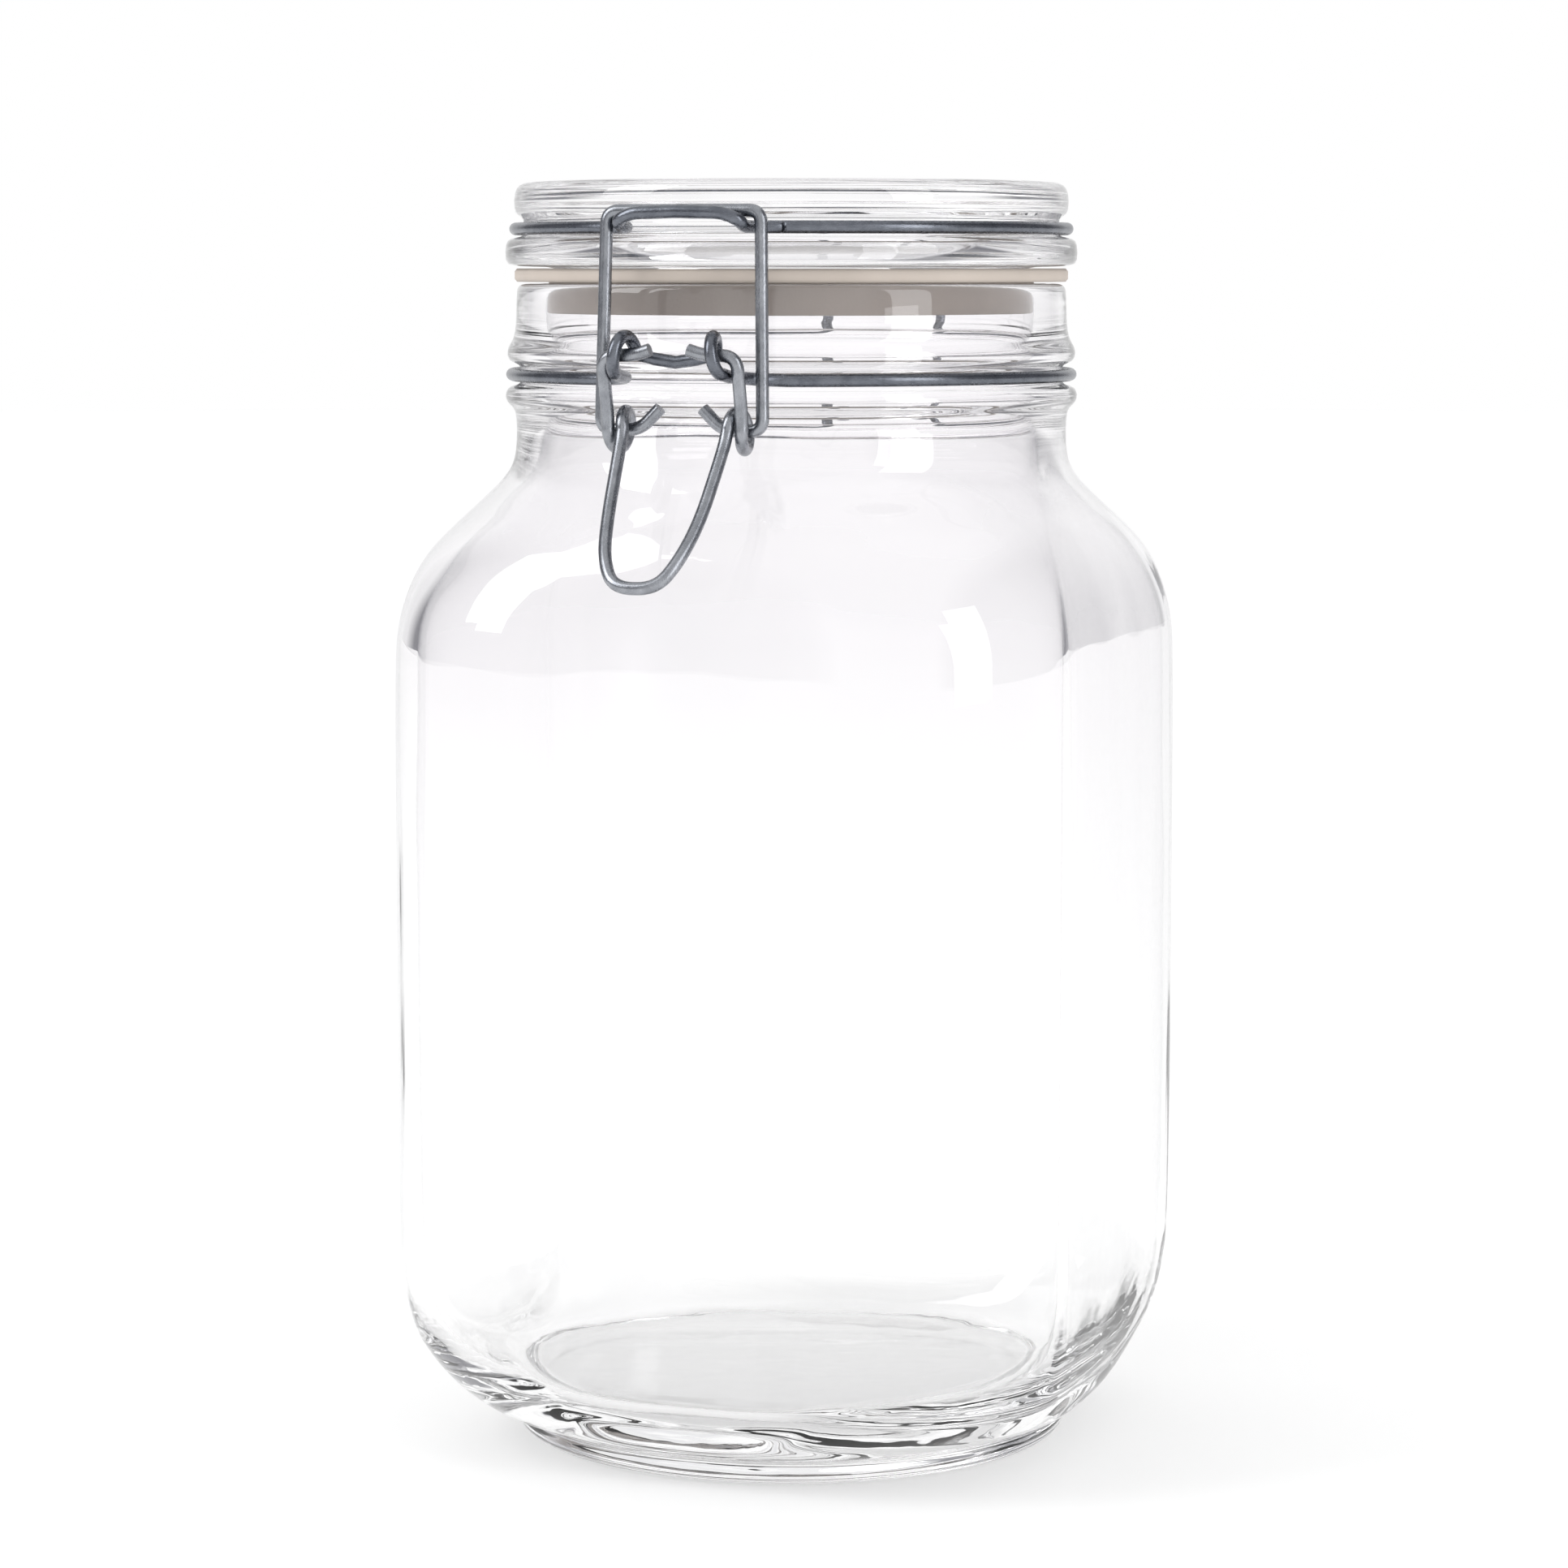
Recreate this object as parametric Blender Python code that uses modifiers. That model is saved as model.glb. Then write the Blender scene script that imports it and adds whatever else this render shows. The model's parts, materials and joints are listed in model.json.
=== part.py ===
"""Clip-top storage jar: square glass body, glass lid, rubber ring and wire latch.

Metres, +Z up, latch facing -Y.  The jar stands on z = 0 with its axis on the origin.
"""
from math import cos, pi, radians, sin

import bpy
import bmesh

MM = 0.001

# jar body
SEGMENTS = 48
BODY_TOP = 204.3
SQUARE_REACH = 26.0
CORNER_PULL = 1.3018
BODY_REACH = 69.8
GLASS_WALL = 3.6
MOUTH_R = 43.0
NECK_R = 48.6
FLOOR_Z = 10.6

# lid and ring
LID_BASE = 207.2
LID_TOP = 222.0
FLANGE_R = 50.4
LID_R = 48.8
PLUG_R = 41.6
GASKET_R = 48.7
GASKET_HOLE_R = 41.9
GASKET_Z = (204.6, 206.9)
SLEEVE_R = 42.7
SLEEVE_LOW = 199.0

# wires
WIRE_R = 1.1
NECK_WIRE_R = 49.2
NECK_WIRE_Z = 188.4
LID_WIRE_R = 48.5
LID_WIRE_Z = 213.8
EYE_R = 3.1
EYE_PITCH = 2.5

# latch pivots and reach: (y, z)
LEVER_PIVOT = (-59.0, 192.7)
BAIL_PIVOT = (-53.4, 180.2)
BAR = (-52.2, 216.5)
HANDLE_END = (-74.8, 155.2)
EYE_X = 7.0
ARM_X = 11.9
COIL_X = 9.3
LEG_X = 14.4
BAR_X = 13.7
STUB_X = 3.8
STUB_RISE = 3.6
LIP_X = 10.8
LIP = (-55.6, 216.3)

# rear hinge: (y, z) and half widths
HINGE = (57.0, 203.0)
HINGE_X = 13.0
LOOP_X = 7.0


def clear_scene():
    for item in list(bpy.data.objects):
        bpy.data.objects.remove(item, do_unlink=True)


def make_collection(name):
    collection = bpy.data.collections.new(name)
    bpy.context.scene.collection.children.link(collection)
    return collection


def make_material(name, color, roughness, metallic=0.0, transmission=0.0):
    material = bpy.data.materials.new(name)
    material.use_nodes = True
    shader = material.node_tree.nodes["Principled BSDF"]
    shader.inputs["Base Color"].default_value = (*color, 1.0)
    shader.inputs["Roughness"].default_value = roughness
    shader.inputs["Metallic"].default_value = metallic
    shader.inputs["Transmission Weight"].default_value = transmission
    return material


def add(collection, name, data, material, origin=(0.0, 0.0, 0.0)):
    item = bpy.data.objects.new(name, data)
    item.location = [value * MM for value in origin]
    data.materials.append(material)
    collection.objects.link(item)
    return item


def section(z, reach, square):
    """Ring of points: a circle when square is 0, the full rounded square when it is 1."""
    flat = SQUARE_REACH * square
    corner = reach - flat * CORNER_PULL
    ring = []
    for step in range(SEGMENTS):
        angle = 2 * pi * (step + 0.5) / SEGMENTS
        x = corner * cos(angle) + (flat if cos(angle) > 0 else -flat)
        y = corner * sin(angle) + (flat if sin(angle) > 0 else -flat)
        ring.append((x * MM, y * MM, z * MM))
    return ring


def loft(name, rings):
    """Closed mesh through a list of rings, with a fan at each end."""
    mesh = bmesh.new()
    rows = [[mesh.verts.new(point) for point in ring] for ring in rings]
    for low, high in zip(rows, rows[1:]):
        for i in range(SEGMENTS):
            j = (i + 1) % SEGMENTS
            mesh.faces.new((low[i], low[j], high[j], high[i]))
    mesh.faces.new(list(reversed(rows[0])))
    mesh.faces.new(rows[-1])
    bmesh.ops.triangulate(mesh, faces=[f for f in mesh.faces if len(f.verts) > 4])
    data = bpy.data.meshes.new(name)
    mesh.to_mesh(data)
    mesh.free()
    return data


def turned(collection, name, profile, material, closed, origin):
    """Body of revolution about Z from (radius, z) points, first point at the top."""
    data = bpy.data.meshes.new(name)
    points = [(r * MM, -origin[1] * MM, (z - origin[2]) * MM) for r, z in profile]
    edges = [(i, i + 1) for i in range(len(points) - 1)]
    if closed:
        edges.append((len(points) - 1, 0))
    data.from_pydata(points, edges, [])
    item = add(collection, name, data, material, origin)
    screw = item.modifiers.new("turn", "SCREW")
    screw.axis = "Z"
    screw.steps = SEGMENTS
    screw.render_steps = SEGMENTS
    screw.use_merge_vertices = True
    screw.merge_threshold = 0.0001
    axis = bpy.data.objects.new(name + "_axis", None)
    axis.hide_render = True
    collection.objects.link(axis)
    screw.object = axis
    return item


def wire(collection, name, path, material, cyclic, origin=(0.0, 0.0, 0.0)):
    """Round wire along a list of (x, y, z) points."""
    curve = bpy.data.curves.new(name, "CURVE")
    curve.dimensions = "3D"
    curve.bevel_depth = WIRE_R * MM
    curve.bevel_resolution = 2
    curve.use_fill_caps = True
    spline = curve.splines.new("POLY")
    spline.points.add(len(path) - 1)
    for point, (x, y, z) in zip(spline.points, path):
        shifted = (x - origin[0], y - origin[1], z - origin[2])
        point.co = (*[value * MM for value in shifted], 1.0)
    spline.use_cyclic_u = cyclic
    return add(collection, name, curve, material, origin)


def arc_x(x_from, x_to, centre, radius, start, turn, steps):
    """Helix about a line along X: start angle and turn in degrees, 0 = +Y, 90 = +Z."""
    path = []
    for step in range(steps + 1):
        share = step / steps
        angle = radians(start + turn * share)
        x = x_from + (x_to - x_from) * share
        path.append((x, centre[0] + radius * cos(angle), centre[1] + radius * sin(angle)))
    return path


def arc_z(radius, z, start, end, steps):
    """Arc about the Z axis, angles in degrees from +X."""
    path = []
    for step in range(steps + 1):
        angle = radians(start + (end - start) * step / steps)
        path.append((radius * cos(angle), radius * sin(angle), z))
    return path


def rounded(points, radius, steps=3):
    """Open polyline with its inner corners rounded by short arcs."""
    path = [points[0]]
    for before, corner, after in zip(points, points[1:], points[2:]):
        start = towards(corner, before, radius)
        end = towards(corner, after, radius, 0.9 if after is points[-1] else 0.48)
        for step in range(steps + 1):
            t = step / steps
            path.append(tuple(
                (1 - t) ** 2 * a + 2 * t * (1 - t) * b + t * t * c
                for a, b, c in zip(start, corner, end)
            ))
    path.append(points[-1])
    return path


def towards(start, end, distance, most=0.48):
    length = sum((b - a) ** 2 for a, b in zip(start, end)) ** 0.5
    share = min(distance / length, most)
    return tuple(a + (b - a) * share for a, b in zip(start, end))


def mirrored(half):
    """Path given from the middle outwards on +X, completed with its mirror image."""
    other = [(-x, y, z) for x, y, z in reversed(half)]
    return other + half


def mirrored_ring(half):
    """Closed path whose first and last points lie in the mirror plane."""
    return [(-x, y, z) for x, y, z in reversed(half[1:-1])] + half


def build_jar(collection, glass):
    outside = [
        (0.0, 46.4, 0.0), (0.4, 48.2, 0.0), (1.4, 49.2, 0.0), (2.8, 49.5, 0.0),
        (4.2, 49.4, 0.0), (4.9, 50.4, 0.03), (5.7, 53.4, 0.12), (6.9, 55.9, 0.22),
        (8.1, 57.5, 0.32), (9.4, 59.0, 0.42), (10.8, 60.4, 0.52), (13.3, 62.5, 0.68),
        (18.4, 66.1, 0.88), (23.6, 68.1, 0.96), (29.1, 69.1, 1.0),
        (36.0, BODY_REACH, 1.0), (80.0, BODY_REACH, 1.0), (138.0, BODY_REACH, 1.0),
        (144.5, 69.3, 0.99),
        (150.3, 67.9, 0.94), (156.0, 65.3, 0.84), (160.0, 62.0, 0.7), (163.5, 58.1, 0.5),
        (166.1, 55.2, 0.33), (168.7, 52.3, 0.16), (171.3, 49.9, 0.05),
        (174.5, NECK_R, 0.0), (181.6, NECK_R, 0.0), (182.7, 49.3, 0.0),
        (183.6, 50.4, 0.0), (185.0, 50.65, 0.0), (186.1, 50.1, 0.0), (186.6, 48.8, 0.0),
        (186.8, 47.7, 0.0), (190.0, 47.7, 0.0), (190.3, 48.8, 0.0), (190.9, 50.0, 0.0),
        (192.2, 50.3, 0.0), (193.6, 49.9, 0.0), (195.2, NECK_R, 0.0),
        (202.9, NECK_R, 0.0), (203.9, 48.2, 0.0), (BODY_TOP, 47.3, 0.0),
    ]
    inside = [
        (BODY_TOP, 44.2, 0.0), (203.9, 43.3, 0.0), (203.0, MOUTH_R, 0.0),
        (188.0, MOUTH_R, 0.0), (180.0, 44.0, 0.0), (171.5, 45.2, 0.03),
        (167.0, 49.0, 0.16), (163.5, 52.6, 0.36), (159.5, 57.0, 0.6),
        (154.5, 61.5, 0.8), (149.0, 64.4, 0.93), (143.5, 65.8, 0.98),
        (137.0, BODY_REACH - GLASS_WALL, 1.0), (36.0, BODY_REACH - GLASS_WALL, 1.0),
        (29.0, 65.4, 0.98), (24.0, 64.2, 0.94), (19.5, 61.8, 0.84), (16.0, 58.5, 0.66),
        (13.6, 54.0, 0.36), (12.2, 49.8, 0.12), (11.6, 47.6, 0.02), (11.0, 46.4, 0.0),
        (FLOOR_Z, 42.0, 0.0),
    ]
    rings = [section(*ring) for ring in outside + inside]
    return add(collection, "jar_glass", loft("jar_glass", rings), glass)


def build_lid(collection, glass):
    profile = [
        (0.0, LID_TOP), (46.6, LID_TOP), (47.9, 221.5), (LID_R, 220.2), (LID_R, 217.2),
        (48.3, 216.2), (47.0, 215.8), (46.9, 212.9), (47.4, 212.4), (49.6, 212.2),
        (FLANGE_R, 211.3), (FLANGE_R, 208.1), (49.7, LID_BASE), (PLUG_R + 0.2, LID_BASE),
        (PLUG_R, 207.0), (PLUG_R, 199.6), (41.0, 198.8), (37.0, 198.8), (36.4, 199.6),
        (36.0, 209.0), (34.0, 212.2), (30.0, 213.4), (0.0, 213.6),
    ]
    return turned(collection, "lid_glass", profile, glass, False, (0.0, *HINGE))


def build_gasket(collection, rubber):
    low, high = GASKET_Z
    profile = [
        (GASKET_R - 0.4, high), (GASKET_R, high - 0.5), (GASKET_R, low + 0.5),
        (GASKET_R - 0.4, low), (SLEEVE_R, low), (SLEEVE_R, SLEEVE_LOW),
        (GASKET_HOLE_R, SLEEVE_LOW), (GASKET_HOLE_R, high),
    ]
    return turned(collection, "gasket", profile, rubber, True, (0.0, *HINGE))


def build_neck_wire(collection, steel):
    inner = LEVER_PIVOT[0] + EYE_R
    half = [(0.0, inner, LEVER_PIVOT[1] - 1.2), (3.5, inner, LEVER_PIVOT[1] - 0.7)]
    half += arc_x(EYE_X, EYE_X + EYE_PITCH, LEVER_PIVOT, EYE_R, 0, 270, 14)
    x_end, y_end = half[-1][:2]
    half += [(x_end + 0.2, y_end + 2.2, NECK_WIRE_Z + 0.8)]
    half += [(10.6, -51.6, NECK_WIRE_Z + 0.45), (12.6, -49.4, NECK_WIRE_Z + 0.2)]
    half += arc_z(NECK_WIRE_R, NECK_WIRE_Z, -71.0, 68.0, 28)
    bridge = [
        (HINGE_X + 2.4, 49.0, NECK_WIRE_Z), (HINGE_X, 52.6, NECK_WIRE_Z),
        (HINGE_X, HINGE[0], NECK_WIRE_Z + 3.0), (HINGE_X, *HINGE), (0.0, *HINGE),
    ]
    half += rounded(bridge, 2.4)
    return wire(collection, "neck_wire", mirrored_ring(half), steel, True)


def build_lid_wire(collection, steel):
    lip = [
        (0.0, LIP[0], LIP[1]), (8.0, LIP[0] + 0.1, LIP[1] - 0.2),
        (LIP_X, LIP[0] + 0.6, LIP[1] - 1.4), (LIP_X + 0.1, BAR[0] - 0.4, LID_WIRE_Z),
        (LIP_X + 0.6, -48.6, LID_WIRE_Z), (14.2, -46.9, LID_WIRE_Z),
    ]
    half = rounded(lip, 1.6)[:-1]
    half += arc_z(LID_WIRE_R, LID_WIRE_Z, -72.0, 74.0, 28)
    half += rounded([
        half[-1], (LOOP_X + 3.4, 49.8, LID_WIRE_Z), (LOOP_X + 3.0, HINGE[0] + EYE_R, 212.0),
        (LOOP_X + 3.0, HINGE[0] + EYE_R, HINGE[1] + 1.5),
    ], 2.4)[1:]
    half += arc_x(LOOP_X + 3.0, LOOP_X, HINGE, EYE_R, 0, -360, 18)
    half += rounded([half[-1], (LOOP_X - 0.1, HINGE[0] + EYE_R, HINGE[1] + 5.0),
                     (0.0, HINGE[0] + EYE_R, HINGE[1] + 5.4)], 2.0)[1:]
    return wire(collection, "lid_wire", mirrored_ring(half), steel, True, (0.0, *HINGE))


def build_lever(collection, steel):
    y_a, z_a = LEVER_PIVOT
    y_b, z_b = BAIL_PIVOT
    arm = rounded([
        (3.4, y_a, z_a + 0.9), (6.2, y_a, z_a), (ARM_X, y_a, z_a), (ARM_X, y_b - EYE_R, z_b + 2.0),
        (ARM_X, y_b - EYE_R, z_b),
    ], 2.6)
    coil = arc_x(ARM_X, COIL_X, BAIL_PIVOT, EYE_R, 180, 360, 18)
    handle = rounded([
        coil[-1], (COIL_X - 0.1, y_b - EYE_R - 1.6, z_b - 3.0), (8.2, -66.0, 166.0),
        (6.7, -71.4, 159.8), (3.8, *HANDLE_END), (0.0, *HANDLE_END),
    ], 5.0, 4)
    half = list(reversed(arm[:-1] + coil + handle[1:]))
    return wire(collection, "lever", mirrored(half[1:]), steel, False, (0.0, *LEVER_PIVOT))


def build_bail(collection, steel):
    y_b, z_b = BAIL_PIVOT
    points = [
        (0.0, *BAR), (BAR_X, *BAR), (LEG_X, y_b, z_b), (7.4, y_b, z_b),
        (STUB_X, y_b, z_b + STUB_RISE),
    ]
    half = rounded(points, 2.2, 4)
    return wire(collection, "bail", mirrored(half[1:]), steel, False, (0.0, *BAIL_PIVOT))


def build():
    clear_scene()
    parts = make_collection("clip_top_jar")
    glass = make_material("clear_glass", (0.95, 0.95, 0.96), 0.03, transmission=1.0)
    lid_glass = make_material("lid_clear_glass", (0.96, 0.96, 0.97), 0.03, transmission=1.0)
    rubber = make_material("pale_rubber", (0.56, 0.50, 0.45), 0.7)
    neck_steel = make_material("neck_steel", (0.45, 0.46, 0.48), 0.35, metallic=1.0)
    lid_steel = make_material("lid_steel", (0.45, 0.46, 0.48), 0.35, metallic=1.0)
    lever_steel = make_material("lever_steel", (0.45, 0.46, 0.48), 0.35, metallic=1.0)
    bail_steel = make_material("bail_steel", (0.45, 0.46, 0.48), 0.35, metallic=1.0)
    build_jar(parts, glass)
    build_lid(parts, lid_glass)
    build_gasket(parts, rubber)
    build_neck_wire(parts, neck_steel)
    build_lid_wire(parts, lid_steel)
    build_lever(parts, lever_steel)
    build_bail(parts, bail_steel)


build()
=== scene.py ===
"""Clip-top glass jar: the finished look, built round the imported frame."""
import json
from math import cos, radians, sin, tau

import bmesh
import bpy
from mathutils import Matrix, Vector


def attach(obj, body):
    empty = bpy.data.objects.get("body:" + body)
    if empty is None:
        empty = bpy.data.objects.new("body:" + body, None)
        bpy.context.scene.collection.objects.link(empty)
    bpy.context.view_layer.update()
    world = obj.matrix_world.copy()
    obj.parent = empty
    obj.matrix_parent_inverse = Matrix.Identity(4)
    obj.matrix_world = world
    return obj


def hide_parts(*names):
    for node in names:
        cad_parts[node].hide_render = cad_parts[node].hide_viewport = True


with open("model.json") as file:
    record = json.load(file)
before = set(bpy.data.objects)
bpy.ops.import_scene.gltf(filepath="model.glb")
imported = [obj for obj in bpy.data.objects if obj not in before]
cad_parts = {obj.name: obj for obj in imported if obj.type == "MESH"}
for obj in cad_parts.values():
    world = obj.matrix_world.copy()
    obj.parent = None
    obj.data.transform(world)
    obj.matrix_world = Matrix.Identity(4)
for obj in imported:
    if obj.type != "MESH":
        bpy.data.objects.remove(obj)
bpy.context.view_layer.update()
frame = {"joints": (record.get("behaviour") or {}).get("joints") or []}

MM = 0.001
MERGE = 0.01 * MM

# jar
AROUND = 48
SQUARE_REACH = 26.0
CORNER_PULL = 1.3018
RIM_Z = 204.3
NECK_R = 48.6
MOUTH_R = 43.0
WALL = 3.6
BODY_REACH = 69.8
FLOOR_Z = 10.6
CAP_INSETS = (0.006, 0.012, 0.012)

# lid and sealing ring
LID_TOP = 222.0
LID_BASE = 207.2
LID_R = 48.8
FLANGE_R = 50.4
PLUG_R = 41.6
RING_R = 48.7
RING_HOLE_R = 41.9
SLEEVE_R = 42.7
SLEEVE_LOW = 199.0
RING_LOW = 204.6
RING_HIGH = 206.9

# finishes: painted grey shade for the glass where it is seen at a grazing angle, standing in for
# the darker surroundings seen in its edges, and two zincs, dark and light
EDGE_PAINTED_SHADE = (0.14, 0.145, 0.17)
ZINC = ((0.085, 0.094, 0.11), (0.50, 0.515, 0.55))
DULL_ZINC = ((0.035, 0.041, 0.055), (0.27, 0.285, 0.32))

# wires, and how much of a stretch between two corners one corner's bend may take
WIRE_R = 1.1
INNER_SHARE = 0.48
END_SHARE = 0.9
NECK_WIRE_R = 49.2
NECK_WIRE_Z = 188.4
LID_WIRE_R = 48.5
LID_WIRE_Z = 213.8
EYE_R = 3.1
EYE_PITCH = 2.5
EYE_X = 7.0
ARM_X = 11.9
COIL_X = 9.3
LEG_X = 14.4
BAR_X = 13.7
STUB_X = 3.8
STUB_RISE = 3.6
BAR = (-52.2, 216.5)
LIP_X = 10.8
LIP = (-55.6, 216.3)
# 0.1 short of the CAD's, whose wires have flatter sides, so that the box stays the same
HANDLE_END = (-74.7, 155.2)
HINGE_X = 13.0
LOOP_X = 7.0


def pivot(name):
    """(y, z) of a joint's axis, in millimetres."""
    joint = next(j for j in frame["joints"] if j["name"] == name)
    return joint["pos_m"][1] / MM, joint["pos_m"][2] / MM


HINGE = pivot("lid_hinge")
LEVER_PIVOT = pivot("lever_swing")
BAIL_PIVOT = pivot("bail_swing")


# ---------------------------------------------------------------- shader maths

# a colour Mix node's sockets, whose names aren't unique
MIX_A = 6
MIX_B = 7
MIX_RESULT = 2


class Value:
    """A node socket that takes part in ordinary arithmetic."""

    def __init__(self, nodes, socket):
        self.nodes = nodes
        self.socket = socket

    def join(self, operation, first, second):
        return self.nodes.add("ShaderNodeMath", {"operation": operation}, {0: first, 1: second})

    def __add__(self, other):
        return self.join("ADD", self, other)

    __radd__ = __add__

    def __sub__(self, other):
        return self.join("SUBTRACT", self, other)

    def __rsub__(self, other):
        return self.join("SUBTRACT", other, self)

    def __mul__(self, other):
        return self.join("MULTIPLY", self, other)

    __rmul__ = __mul__


class Nodes:
    """Node tree of one material or world."""

    def __init__(self, tree):
        self.tree = tree

    def add(self, kind, settings=None, inputs=None, output=0):
        node = self.tree.nodes.new(kind)
        for name, value in (settings or {}).items():
            if name == "stops":
                set_stops(node.color_ramp, value)
            else:
                setattr(node, name, value)
        for name, value in (inputs or {}).items():
            if isinstance(value, Value):
                self.tree.links.new(value.socket, node.inputs[name])
            else:
                node.inputs[name].default_value = value
        return Value(self, node.outputs[output])

    def link(self, value, node, name):
        self.tree.links.new(value.socket, node.inputs[name])


def set_stops(ramp, stops):
    while len(ramp.elements) > 2:
        ramp.elements.remove(ramp.elements[-1])
    while len(ramp.elements) < len(stops):
        ramp.elements.new(0.5)
    for element, (place, color) in zip(ramp.elements, stops):
        element.position = place
        element.color = (*color, 1.0)


def new_material(name):
    material = bpy.data.materials.new(name)
    material.use_nodes = True
    nodes = Nodes(material.node_tree)
    shader = material.node_tree.nodes["Principled BSDF"]
    return material, nodes, shader


def noise(nodes, place, scale, detail=3.0, stretch=(1.0, 1.0, 1.0)):
    spot = nodes.add("ShaderNodeMapping", None, {"Vector": place, "Scale": stretch})
    return nodes.add(
        "ShaderNodeTexNoise", None, {"Vector": spot, "Scale": scale, "Detail": detail}
    )


def blend_colors(nodes, mask, low, high):
    return nodes.add(
        "ShaderNodeMix", {"data_type": "RGBA"},
        {0: mask, MIX_A: (*low, 1.0), MIX_B: (*high, 1.0)}, output=MIX_RESULT,
    )


def pressed_glass(name, low, high, ripple, tint_from, tint_to):
    """Clear soda glass: faint colour drift, slow waves of the mould, a touch of handling haze, and
    painted grey shade on its grazing edges.
    """
    material, nodes, shader = new_material(name)
    place = nodes.add("ShaderNodeTexCoord", None, None, output="Object")
    height = nodes.add("ShaderNodeSeparateXYZ", None, {"Vector": place}, output="Z")
    upper = nodes.add("ShaderNodeMapRange", {"interpolation_type": "SMOOTHSTEP"}, {
        "Value": height, "From Min": tint_from, "From Max": tint_to,
    })
    heel = nodes.add("ShaderNodeMapRange", {"interpolation_type": "SMOOTHSTEP"}, {
        "Value": height, "From Min": 0.045, "From Max": 0.020,
    })
    drift = noise(nodes, place, 14.0, 1.0)
    waves = noise(nodes, place, 42.0, 1.0, (1.0, 1.0, 0.45))
    swirls = noise(nodes, place, 85.0, 2.0, (1.0, 1.0, 2.5))
    haze = noise(nodes, place, 160.0, 4.0)
    shader.inputs["IOR"].default_value = 1.5
    shader.inputs["Transmission Weight"].default_value = 1.0
    tint = upper * (0.7 + drift * 0.6)
    # painted shade: grey mixed into the glass's base colour at grazing angles, standing in for the
    # darker surroundings seen in its edges; kept off the heel
    facing = nodes.add("ShaderNodeLayerWeight", None, {"Blend": 0.5}, output="Facing")
    grazing_shade_mask = nodes.add("ShaderNodeMapRange", None, {
        "Value": facing, "From Min": 0.55, "From Max": 1.0,
    })
    body = blend_colors(nodes, tint, low, high)
    painted_edge_shade = nodes.add("ShaderNodeMix", {"data_type": "RGBA"}, {
        0: grazing_shade_mask * grazing_shade_mask * (1.0 - heel), MIX_A: body, MIX_B: (*EDGE_PAINTED_SHADE, 1.0),
    }, output=MIX_RESULT)
    nodes.link(painted_edge_shade, shader, "Base Color")
    nodes.link(haze * 0.02, shader, "Roughness")
    bump = nodes.add("ShaderNodeBump", None, {
        "Strength": ripple, "Distance": 0.0008, "Height": waves + swirls * heel * 0.15,
    })
    nodes.link(bump, shader, "Normal")
    return material


def pale_rubber():
    """Dusty beige sealing rubber with fine grain and slight mottling."""
    material, nodes, shader = new_material("sealing_rubber")
    place = nodes.add("ShaderNodeTexCoord", None, None, output="Object")
    mottle = noise(nodes, place, 90.0, 4.0)
    grain = noise(nodes, place, 1600.0, 2.0)
    nodes.link(
        blend_colors(nodes, mottle, (0.43, 0.375, 0.33), (0.57, 0.505, 0.45)), shader, "Base Color"
    )
    nodes.link(0.55 + mottle * 0.25, shader, "Roughness")
    bump = nodes.add(
        "ShaderNodeBump", None, {"Strength": 0.25, "Distance": 0.0001, "Height": grain}
    )
    nodes.link(bump, shader, "Normal")
    return material


def galvanised_steel(name, stretch, dark, light):
    """Drawn galvanised wire: dull grey zinc, drawing lines and small bright rubs."""
    material, nodes, shader = new_material(name)
    place = nodes.add("ShaderNodeTexCoord", None, None, output="Object")
    zinc = noise(nodes, place, 420.0, 4.0)
    lines = noise(nodes, place, 1500.0, 2.0, stretch)
    rubs = noise(nodes, place, 120.0, 2.0)
    tone = zinc * 0.6 + lines * 0.4
    shader.inputs["Metallic"].default_value = 1.0
    nodes.link(blend_colors(nodes, tone, dark, light), shader, "Base Color")
    nodes.link(0.14 + rubs * 0.14 + lines * 0.12, shader, "Roughness")
    bump = nodes.add(
        "ShaderNodeBump", None,
        {"Strength": 0.3, "Distance": 0.00012, "Height": lines * 0.6 + zinc * 0.4},
    )
    nodes.link(bump, shader, "Normal")
    return material


# ---------------------------------------------------------------- shapes

def finish_piece(piece, material, body, node):
    piece.data.materials.clear()
    piece.data.materials.append(material)
    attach(piece, body)
    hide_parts(node)
    return piece


def mesh_piece(name, shape):
    data = bpy.data.meshes.new(name)
    bmesh.ops.recalc_face_normals(shape, faces=shape.faces)
    shape.to_mesh(data)
    shape.free()
    data.shade_smooth()
    piece = bpy.data.objects.new(name, data)
    bpy.context.collection.objects.link(piece)
    return piece


def soften(piece, levels):
    smooth = piece.modifiers.new("soften", "SUBSURF")
    smooth.levels = levels
    smooth.render_levels = levels


def section_point(step, reach, square, z):
    """One point of a section: a circle when square is 0, the rounded square when it is 1."""
    angle = tau * (step + 0.5) / AROUND
    flat = SQUARE_REACH * square
    corner = reach - flat * CORNER_PULL
    x = corner * cos(angle) + (flat if cos(angle) > 0 else -flat)
    y = corner * sin(angle) + (flat if sin(angle) > 0 else -flat)
    return Vector((x, y, z)) * MM


def place_ring(ring, z, reach, square):
    for step, vert in enumerate(ring):
        vert.co = section_point(step, reach, square, z)


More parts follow.
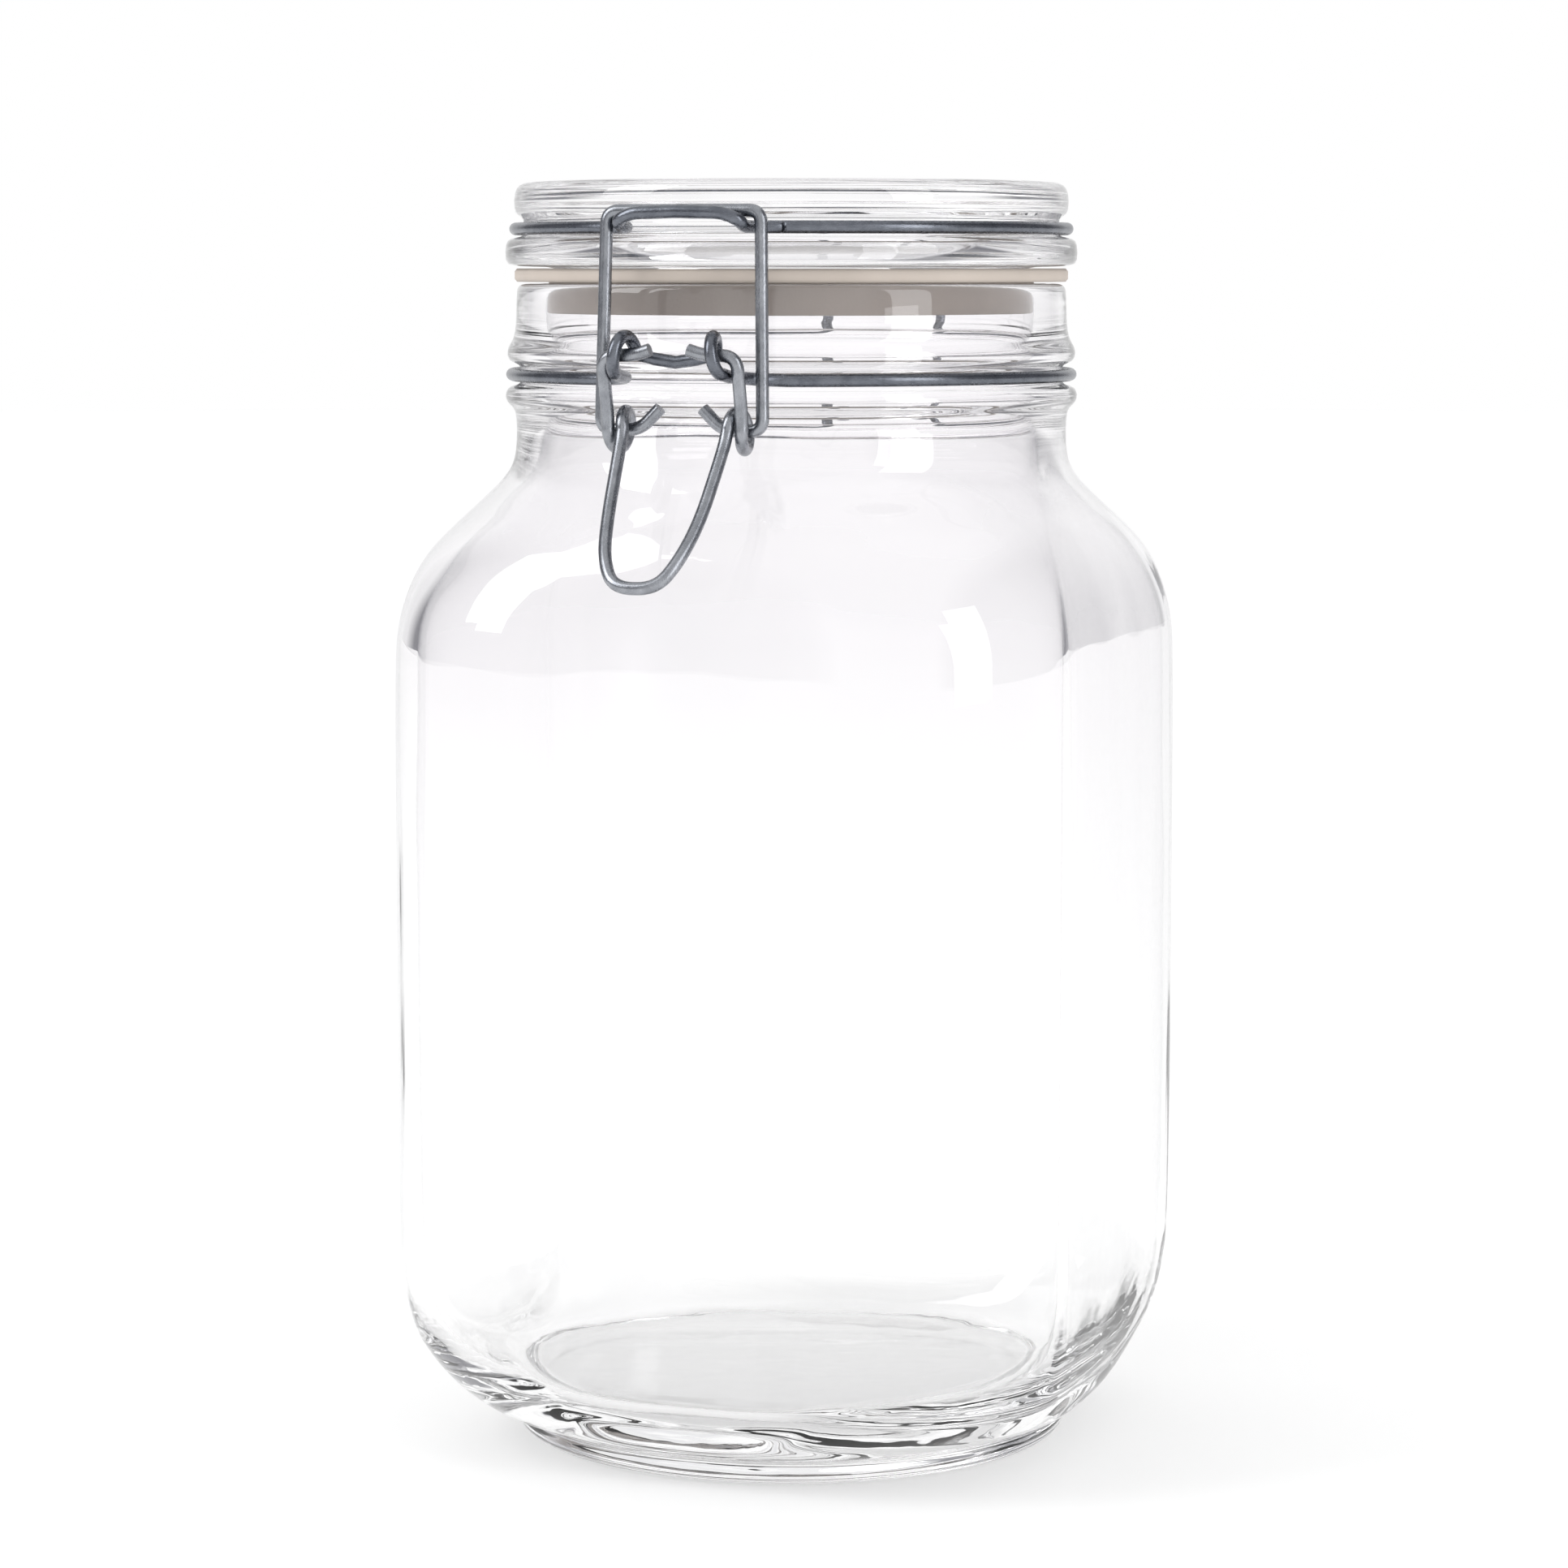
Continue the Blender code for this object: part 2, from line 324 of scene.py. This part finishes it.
def blown_jar(sections):
    """Extrudes one ring of edges through every section and closes both ends."""
    shape = bmesh.new()
    ring = bmesh.ops.create_circle(shape, segments=AROUND, radius=1.0)["verts"]
    place_ring(ring, *sections[0])
    first = ring
    for part in sections[1:]:
        edges = [shape.edges.get((a, b)) for a, b in zip(ring, ring[1:] + ring[:1])]
        grown = bmesh.ops.extrude_edge_only(shape, edges=edges)["geom"]
        fresh = {v for v in grown if isinstance(v, bmesh.types.BMVert)}
        ring = [next(e.other_vert(v) for e in v.link_edges if e.other_vert(v) in fresh)
                for v in ring]
        place_ring(ring, *part)
    for end in (first, ring):
        cap = bmesh.ops.contextual_create(shape, geom=end)["faces"]
        for inset in CAP_INSETS:
            bmesh.ops.inset_region(shape, faces=cap, thickness=inset, use_even_offset=False)
    return shape


def turned(profile, closed):
    """Spins a profile of (radius, z) points once round the axis."""
    shape = bmesh.new()
    verts = [shape.verts.new(Vector((r, 0.0, z)) * MM) for r, z in profile]
    edges = [shape.edges.new(pair) for pair in zip(verts, verts[1:])]
    if closed:
        edges.append(shape.edges.new((verts[-1], verts[0])))
    bmesh.ops.spin(
        shape, geom=verts + edges, cent=(0, 0, 0), axis=(0, 0, 1), angle=tau,
        steps=AROUND * 2, use_merge=True,
    )
    bmesh.ops.remove_doubles(shape, verts=shape.verts, dist=MERGE)
    return shape


def wire(name, path, cyclic):
    curve = bpy.data.curves.new(name, "CURVE")
    curve.dimensions = "3D"
    curve.bevel_depth = WIRE_R * MM
    curve.bevel_resolution = 6
    curve.use_fill_caps = True
    spline = curve.splines.new("POLY")
    spline.points.add(len(path) - 1)
    for point, place in zip(spline.points, path):
        point.co = (*[value * MM for value in place], 1.0)
    spline.use_cyclic_u = cyclic
    spline.use_smooth = True
    piece = bpy.data.objects.new(name, curve)
    bpy.context.collection.objects.link(piece)
    return piece


def arc_x(x_from, x_to, centre, start, turn, steps):
    """Helix about a line along X: angles in degrees, 0 = +Y, 90 = +Z."""
    path = []
    for step in range(steps + 1):
        share = step / steps
        angle = radians(start + turn * share)
        x = x_from + (x_to - x_from) * share
        path.append((x, centre[0] + EYE_R * cos(angle), centre[1] + EYE_R * sin(angle)))
    return path


def arc_z(radius, z, start, end, steps):
    """Arc about the jar's axis: angles in degrees, -90 = the latch's side."""
    path = []
    for step in range(steps + 1):
        angle = radians(start + (end - start) * step / steps)
        path.append((radius * cos(angle), radius * sin(angle), z))
    return path


def towards(start, end, distance, most):
    """Point at a distance from start towards end, at most that share of the way."""
    start = Vector(start)
    gap = Vector(end) - start
    return start + gap * min(distance / gap.length, most)


def rounded(points, radius, steps=8):
    """Open polyline with its inner corners rounded."""
    path = [points[0]]
    for before, corner, after in zip(points, points[1:], points[2:]):
        start = towards(corner, before, radius, INNER_SHARE)
        end = towards(corner, after, radius, END_SHARE if after is points[-1] else INNER_SHARE)
        for step in range(steps + 1):
            t = step / steps
            path.append(tuple(
                start * (1 - t) ** 2 + Vector(corner) * 2 * t * (1 - t) + end * t * t
            ))
    path.append(points[-1])
    return path


def mirrored(half):
    """Open path from a half whose first point is just off the mirror plane."""
    return [(-x, y, z) for x, y, z in reversed(half)] + half


def mirrored_ring(half):
    """Closed path whose first and last points lie in the mirror plane."""
    return [(-x, y, z) for x, y, z in reversed(half[1:-1])] + half


# ---------------------------------------------------------------- pieces

def make_jar():
    outside = [
        (0.0, 46.4, 0.0), (0.4, 48.2, 0.0), (1.4, 49.2, 0.0), (2.8, 49.5, 0.0),
        (4.2, 49.4, 0.0), (4.9, 50.4, 0.03), (5.7, 53.4, 0.12), (6.9, 55.9, 0.22),
        (8.1, 57.5, 0.32), (9.4, 59.0, 0.42), (10.8, 60.4, 0.52), (13.3, 62.5, 0.68),
        (18.4, 66.1, 0.88), (23.6, 68.1, 0.96), (29.1, 69.1, 1.0),
        (36.0, BODY_REACH, 1.0), (80.0, BODY_REACH, 1.0), (138.0, BODY_REACH, 1.0),
        (144.5, 69.3, 0.99), (150.3, 67.9, 0.94), (156.0, 65.3, 0.84), (160.0, 62.0, 0.7),
        (163.5, 58.1, 0.5), (166.1, 55.2, 0.33), (168.7, 52.3, 0.16), (171.3, 49.9, 0.05),
        (174.5, NECK_R, 0.0), (181.6, NECK_R, 0.0), (182.7, 49.3, 0.0),
        (183.6, 50.4, 0.0), (185.0, 50.65, 0.0), (186.1, 50.1, 0.0), (186.6, 48.8, 0.0),
        (186.8, 47.7, 0.0), (190.0, 47.7, 0.0), (190.3, 48.8, 0.0), (190.9, 50.0, 0.0),
        (192.2, 50.3, 0.0), (193.6, 49.9, 0.0), (195.2, NECK_R, 0.0),
        (202.9, NECK_R, 0.0), (203.9, 48.2, 0.0), (RIM_Z, 47.3, 0.0),
    ]
    inside = [
        (RIM_Z, 44.2, 0.0), (203.9, 43.3, 0.0), (203.0, MOUTH_R, 0.0),
        (188.0, MOUTH_R, 0.0), (180.0, 44.0, 0.0), (171.5, 45.2, 0.03),
        (167.0, 49.0, 0.16), (163.5, 52.6, 0.36), (159.5, 57.0, 0.6),
        (154.5, 61.5, 0.8), (149.0, 64.4, 0.93), (143.5, 65.8, 0.98),
        (137.0, BODY_REACH - WALL, 1.0), (36.0, BODY_REACH - WALL, 1.0),
        (29.0, 65.4, 0.98), (24.0, 64.2, 0.94), (19.5, 61.8, 0.84), (16.0, 58.5, 0.66),
        (13.6, 54.0, 0.36), (12.2, 49.8, 0.12), (11.6, 47.6, 0.02), (11.0, 46.4, 0.0),
        (FLOOR_Z, 42.0, 0.0),
    ]
    piece = mesh_piece("jar_body", blown_jar(outside + inside))
    soften(piece, 2)
    glass = pressed_glass(
        "jar_clear_glass", (0.995, 0.995, 0.995), (0.972, 0.962, 0.974), 0.4, 0.05, 0.17
    )
    return finish_piece(piece, glass, "jar", "jar_glass")


def make_lid():
    profile = [
        (0.0, LID_TOP), (40.0, LID_TOP), (46.6, LID_TOP), (47.9, 221.5), (LID_R, 220.2),
        (LID_R, 217.2), (48.3, 216.2), (47.0, 215.8), (46.9, 212.9), (47.4, 212.4),
        (49.6, 212.2), (FLANGE_R, 211.3), (FLANGE_R, 208.1), (49.7, LID_BASE),
        (PLUG_R + 0.2, LID_BASE), (PLUG_R, 207.0), (PLUG_R, 199.6), (41.0, 198.8),
        (37.0, 198.8), (36.4, 199.6), (36.0, 209.0), (34.0, 212.2), (30.0, 213.4),
        (20.0, 213.6), (0.0, 213.6),
    ]
    piece = mesh_piece("lid_disc", turned(profile, False))
    soften(piece, 1)
    glass = pressed_glass(
        "lid_clear_glass", (0.985, 0.98, 0.985), (0.965, 0.96, 0.968), 0.3, 0.20, 0.22
    )
    return finish_piece(piece, glass, "lid", "lid_glass")


def make_sealing_ring():
    profile = [
        (RING_R - 0.4, RING_HIGH), (RING_R, RING_HIGH - 0.5), (RING_R, RING_LOW + 0.5),
        (RING_R - 0.4, RING_LOW), (SLEEVE_R + 0.1, RING_LOW), (SLEEVE_R, RING_LOW - 0.1),
        (SLEEVE_R, SLEEVE_LOW + 0.2), (SLEEVE_R - 0.2, SLEEVE_LOW),
        (RING_HOLE_R + 0.2, SLEEVE_LOW), (RING_HOLE_R, SLEEVE_LOW + 0.2),
        (RING_HOLE_R, RING_HIGH - 0.3), (RING_HOLE_R + 0.3, RING_HIGH),
    ]
    piece = mesh_piece("sealing_ring", turned(profile, True))
    return finish_piece(piece, pale_rubber(), "lid", "gasket")


def make_neck_wire():
    inner = LEVER_PIVOT[0] + EYE_R
    half = [(0.0, inner, LEVER_PIVOT[1] - 1.2), (3.5, inner, LEVER_PIVOT[1] - 0.7)]
    half += arc_x(EYE_X, EYE_X + EYE_PITCH, LEVER_PIVOT, 0, 270, 36)
    x_end, y_end = half[-1][:2]
    half += rounded([
        half[-1], (x_end + 0.2, y_end + 2.2, NECK_WIRE_Z + 0.8),
        (10.6, -51.6, NECK_WIRE_Z + 0.45), (12.6, -49.4, NECK_WIRE_Z + 0.2),
        arc_z(NECK_WIRE_R, NECK_WIRE_Z, -71.0, 68.0, 1)[0],
    ], 1.4)[1:-1]
    half += arc_z(NECK_WIRE_R, NECK_WIRE_Z, -71.0, 68.0, 120)
    bridge = [
        half[-1], (HINGE_X + 2.4, 49.0, NECK_WIRE_Z), (HINGE_X, 52.6, NECK_WIRE_Z),
        (HINGE_X, HINGE[0], NECK_WIRE_Z + 3.0), (HINGE_X, *HINGE), (0.0, *HINGE),
    ]
    half += rounded(bridge, 2.4)[1:]
    piece = wire("neck_ring_wire", mirrored_ring(half), True)
    steel = galvanised_steel("neck_wire_zinc", (1.0, 1.0, 6.0), *DULL_ZINC)
    return finish_piece(piece, steel, "jar", "neck_wire")


def make_lid_wire():
    groove = arc_z(LID_WIRE_R, LID_WIRE_Z, -72.0, 74.0, 120)
    half = rounded([
        (0.0, *LIP), (8.0, LIP[0] + 0.1, LIP[1] - 0.2),
        (LIP_X, LIP[0] + 0.6, LIP[1] - 1.4), (LIP_X + 0.1, BAR[0] - 0.4, LID_WIRE_Z),
        (LIP_X + 0.6, -48.6, LID_WIRE_Z), (14.2, -46.9, LID_WIRE_Z), groove[0],
    ], 1.6)[:-1] + groove
    back = HINGE[0] + EYE_R
    half += rounded([
        half[-1], (LOOP_X + 3.4, 49.8, LID_WIRE_Z), (LOOP_X + 3.0, back, 212.0),
        (LOOP_X + 3.0, back, HINGE[1] + 1.5),
    ], 2.4)[1:]
    half += arc_x(LOOP_X + 3.0, LOOP_X, HINGE, 0, -360, 48)
    half += rounded([
        half[-1], (LOOP_X - 0.1, back, HINGE[1] + 5.0), (0.0, back, HINGE[1] + 5.4),
    ], 2.0)[1:]
    piece = wire("lid_ring_wire", mirrored_ring(half), True)
    steel = galvanised_steel("lid_wire_zinc", (1.0, 1.0, 6.0), *DULL_ZINC)
    return finish_piece(piece, steel, "lid", "lid_wire")


def make_lever():
    y_a, z_a = LEVER_PIVOT
    y_b, z_b = BAIL_PIVOT
    arm = rounded([
        (3.4, y_a, z_a + 0.9), (6.2, y_a, z_a), (ARM_X, y_a, z_a), (ARM_X, y_b - EYE_R, z_b + 2.0),
        (ARM_X, y_b - EYE_R, z_b),
    ], 2.6)
    coil = arc_x(ARM_X, COIL_X, BAIL_PIVOT, 180, 360, 48)
    handle = rounded([
        coil[-1], (COIL_X - 0.1, y_b - EYE_R - 1.6, z_b - 3.0), (8.2, -66.0, 166.0),
        (6.7, -71.4, 159.8), (3.8, *HANDLE_END), (0.0, *HANDLE_END),
    ], 5.0, 10)
    half = list(reversed(arm[:-1] + coil + handle[1:]))
    piece = wire("lever_wire", mirrored(half[1:]), False)
    steel = galvanised_steel("lever_zinc", (6.0, 6.0, 1.0), *ZINC)
    return finish_piece(piece, steel, "lever", "lever")


def make_bail():
    stub_end = (STUB_X, BAIL_PIVOT[0], BAIL_PIVOT[1] + STUB_RISE)
    points = [
        (0.0, *BAR), (BAR_X, *BAR), (LEG_X, *BAIL_PIVOT), (7.4, *BAIL_PIVOT), stub_end,
    ]
    half = rounded(points, 2.2, 10)
    piece = wire("bail_wire", mirrored(half[1:]), False)
    steel = galvanised_steel("bail_zinc", (6.0, 6.0, 1.0), *ZINC)
    return finish_piece(piece, steel, "bail", "bail")


# ---------------------------------------------------------------- studio

GLASS_BOUNCES = 48
GLOSS_BOUNCES = 24
CAMERA_AZIMUTH = radians(20.0)
CAMERA_DISTANCE = 0.834
CAMERA_HEIGHT = 0.2076
AIM = Vector((-0.0012, -0.0005, 0.1155))
LENS = 108.0


def make_camera():
    data = bpy.data.cameras.new("camera")
    data.lens = LENS
    data.sensor_width = 36.0
    camera = bpy.data.objects.new("camera", data)
    camera.location = (
        CAMERA_DISTANCE * sin(CAMERA_AZIMUTH), -CAMERA_DISTANCE * cos(CAMERA_AZIMUTH),
        CAMERA_HEIGHT,
    )
    camera.rotation_euler = (AIM - camera.location).to_track_quat("-Z", "Y").to_euler()
    bpy.context.collection.objects.link(camera)
    bpy.context.scene.camera = camera


def make_floor():
    shape = bmesh.new()
    bmesh.ops.create_circle(shape, cap_ends=True, segments=96, radius=6.0)
    bmesh.ops.translate(shape, verts=shape.verts, vec=(0.0, 0.0, -0.0002))
    piece = mesh_piece("floor", shape)
    material, _, shader = new_material("pale_floor")
    shader.inputs["Base Color"].default_value = (0.5, 0.5, 0.5, 1.0)
    shader.inputs["Roughness"].default_value = 0.8
    shader.inputs["Specular IOR Level"].default_value = 0.2
    shader.inputs["Emission Color"].default_value = (1.0, 1.0, 1.0, 1.0)
    shader.inputs["Emission Strength"].default_value = 0.5
    piece.data.materials.append(material)


def make_sky():
    """White studio with a greyer flag on each side, which draws the glass's edges."""
    world = bpy.data.worlds.new("studio")
    world.use_nodes = True
    bpy.context.scene.world = world
    nodes = Nodes(world.node_tree)
    place = nodes.add("ShaderNodeTexCoord", None, None, output="Generated")
    side = (cos(CAMERA_AZIMUTH), sin(CAMERA_AZIMUTH), 0.0)
    across = nodes.add(
        "ShaderNodeVectorMath", {"operation": "DOT_PRODUCT"}, {0: place, 1: side}, output="Value"
    )
    aside = nodes.add("ShaderNodeMath", {"operation": "ABSOLUTE"}, {0: across})
    height = nodes.add("ShaderNodeSeparateXYZ", None, {"Vector": place}, output="Z")
    flags = nodes.add("ShaderNodeValToRGB", {"stops": [
        (0.0, (1.0, 1.0, 1.0)), (0.48, (1.0, 1.0, 1.0)), (0.66, (0.20, 0.20, 0.22)),
        (1.0, (0.34, 0.34, 0.36)),
    ]}, {"Fac": aside})
    ceiling = nodes.add("ShaderNodeValToRGB", {"stops": [
        (0.0, (1.0, 1.0, 1.0)), (0.40, (1.0, 1.0, 1.0)), (0.60, (0.80, 0.80, 0.82)),
        (0.85, (0.9, 0.9, 0.9)), (1.0, (1.0, 1.0, 1.0)),
    ]}, {"Fac": height})
    shade = nodes.add(
        "ShaderNodeMix", {"data_type": "RGBA", "blend_type": "MULTIPLY"},
        {0: 1.0, MIX_A: flags, MIX_B: ceiling}, output=MIX_RESULT,
    )
    seen = nodes.add("ShaderNodeLightPath", output="Is Camera Ray")
    diffuse = nodes.add("ShaderNodeLightPath", output="Is Diffuse Ray")
    plain = nodes.add("ShaderNodeMath", {"operation": "MAXIMUM"}, {0: seen, 1: diffuse})
    tone = nodes.add(
        "ShaderNodeMix", {"data_type": "RGBA"},
        {0: plain, MIX_A: shade, MIX_B: (1.0, 1.0, 1.0, 1.0)}, output=MIX_RESULT,
    )
    background = world.node_tree.nodes["Background"]
    background.inputs["Strength"].default_value = 1.0
    nodes.link(tone, background, "Color")


def make_light(name, place, size, power):
    data = bpy.data.lights.new(name, "AREA")
    data.shape = "RECTANGLE"
    data.size = size[0]
    data.size_y = size[1]
    data.energy = power
    light = bpy.data.objects.new(name, data)
    light.location = place
    aim = Vector((0.0, 0.0, 0.12)) - light.location
    light.rotation_euler = aim.to_track_quat("-Z", "Y").to_euler()
    bpy.context.collection.objects.link(light)


def make_studio():
    make_camera()
    make_floor()
    make_sky()
    make_light("key_softbox", (-0.9, -0.7, 0.9), (0.6, 0.9), 8.0)
    make_light("fill_softbox", (1.1, -0.4, 0.5), (0.4, 0.9), 4.0)
    scene = bpy.context.scene
    scene.view_settings.view_transform = "Standard"
    # Light caught inside the thick base needs many bounces to get out again.
    scene.cycles.max_bounces = GLASS_BOUNCES
    scene.cycles.transmission_bounces = GLASS_BOUNCES
    scene.cycles.glossy_bounces = GLOSS_BOUNCES


make_studio()
make_jar()
make_lid()
make_sealing_ring()
make_neck_wire()
make_lid_wire()
make_lever()
make_bail()
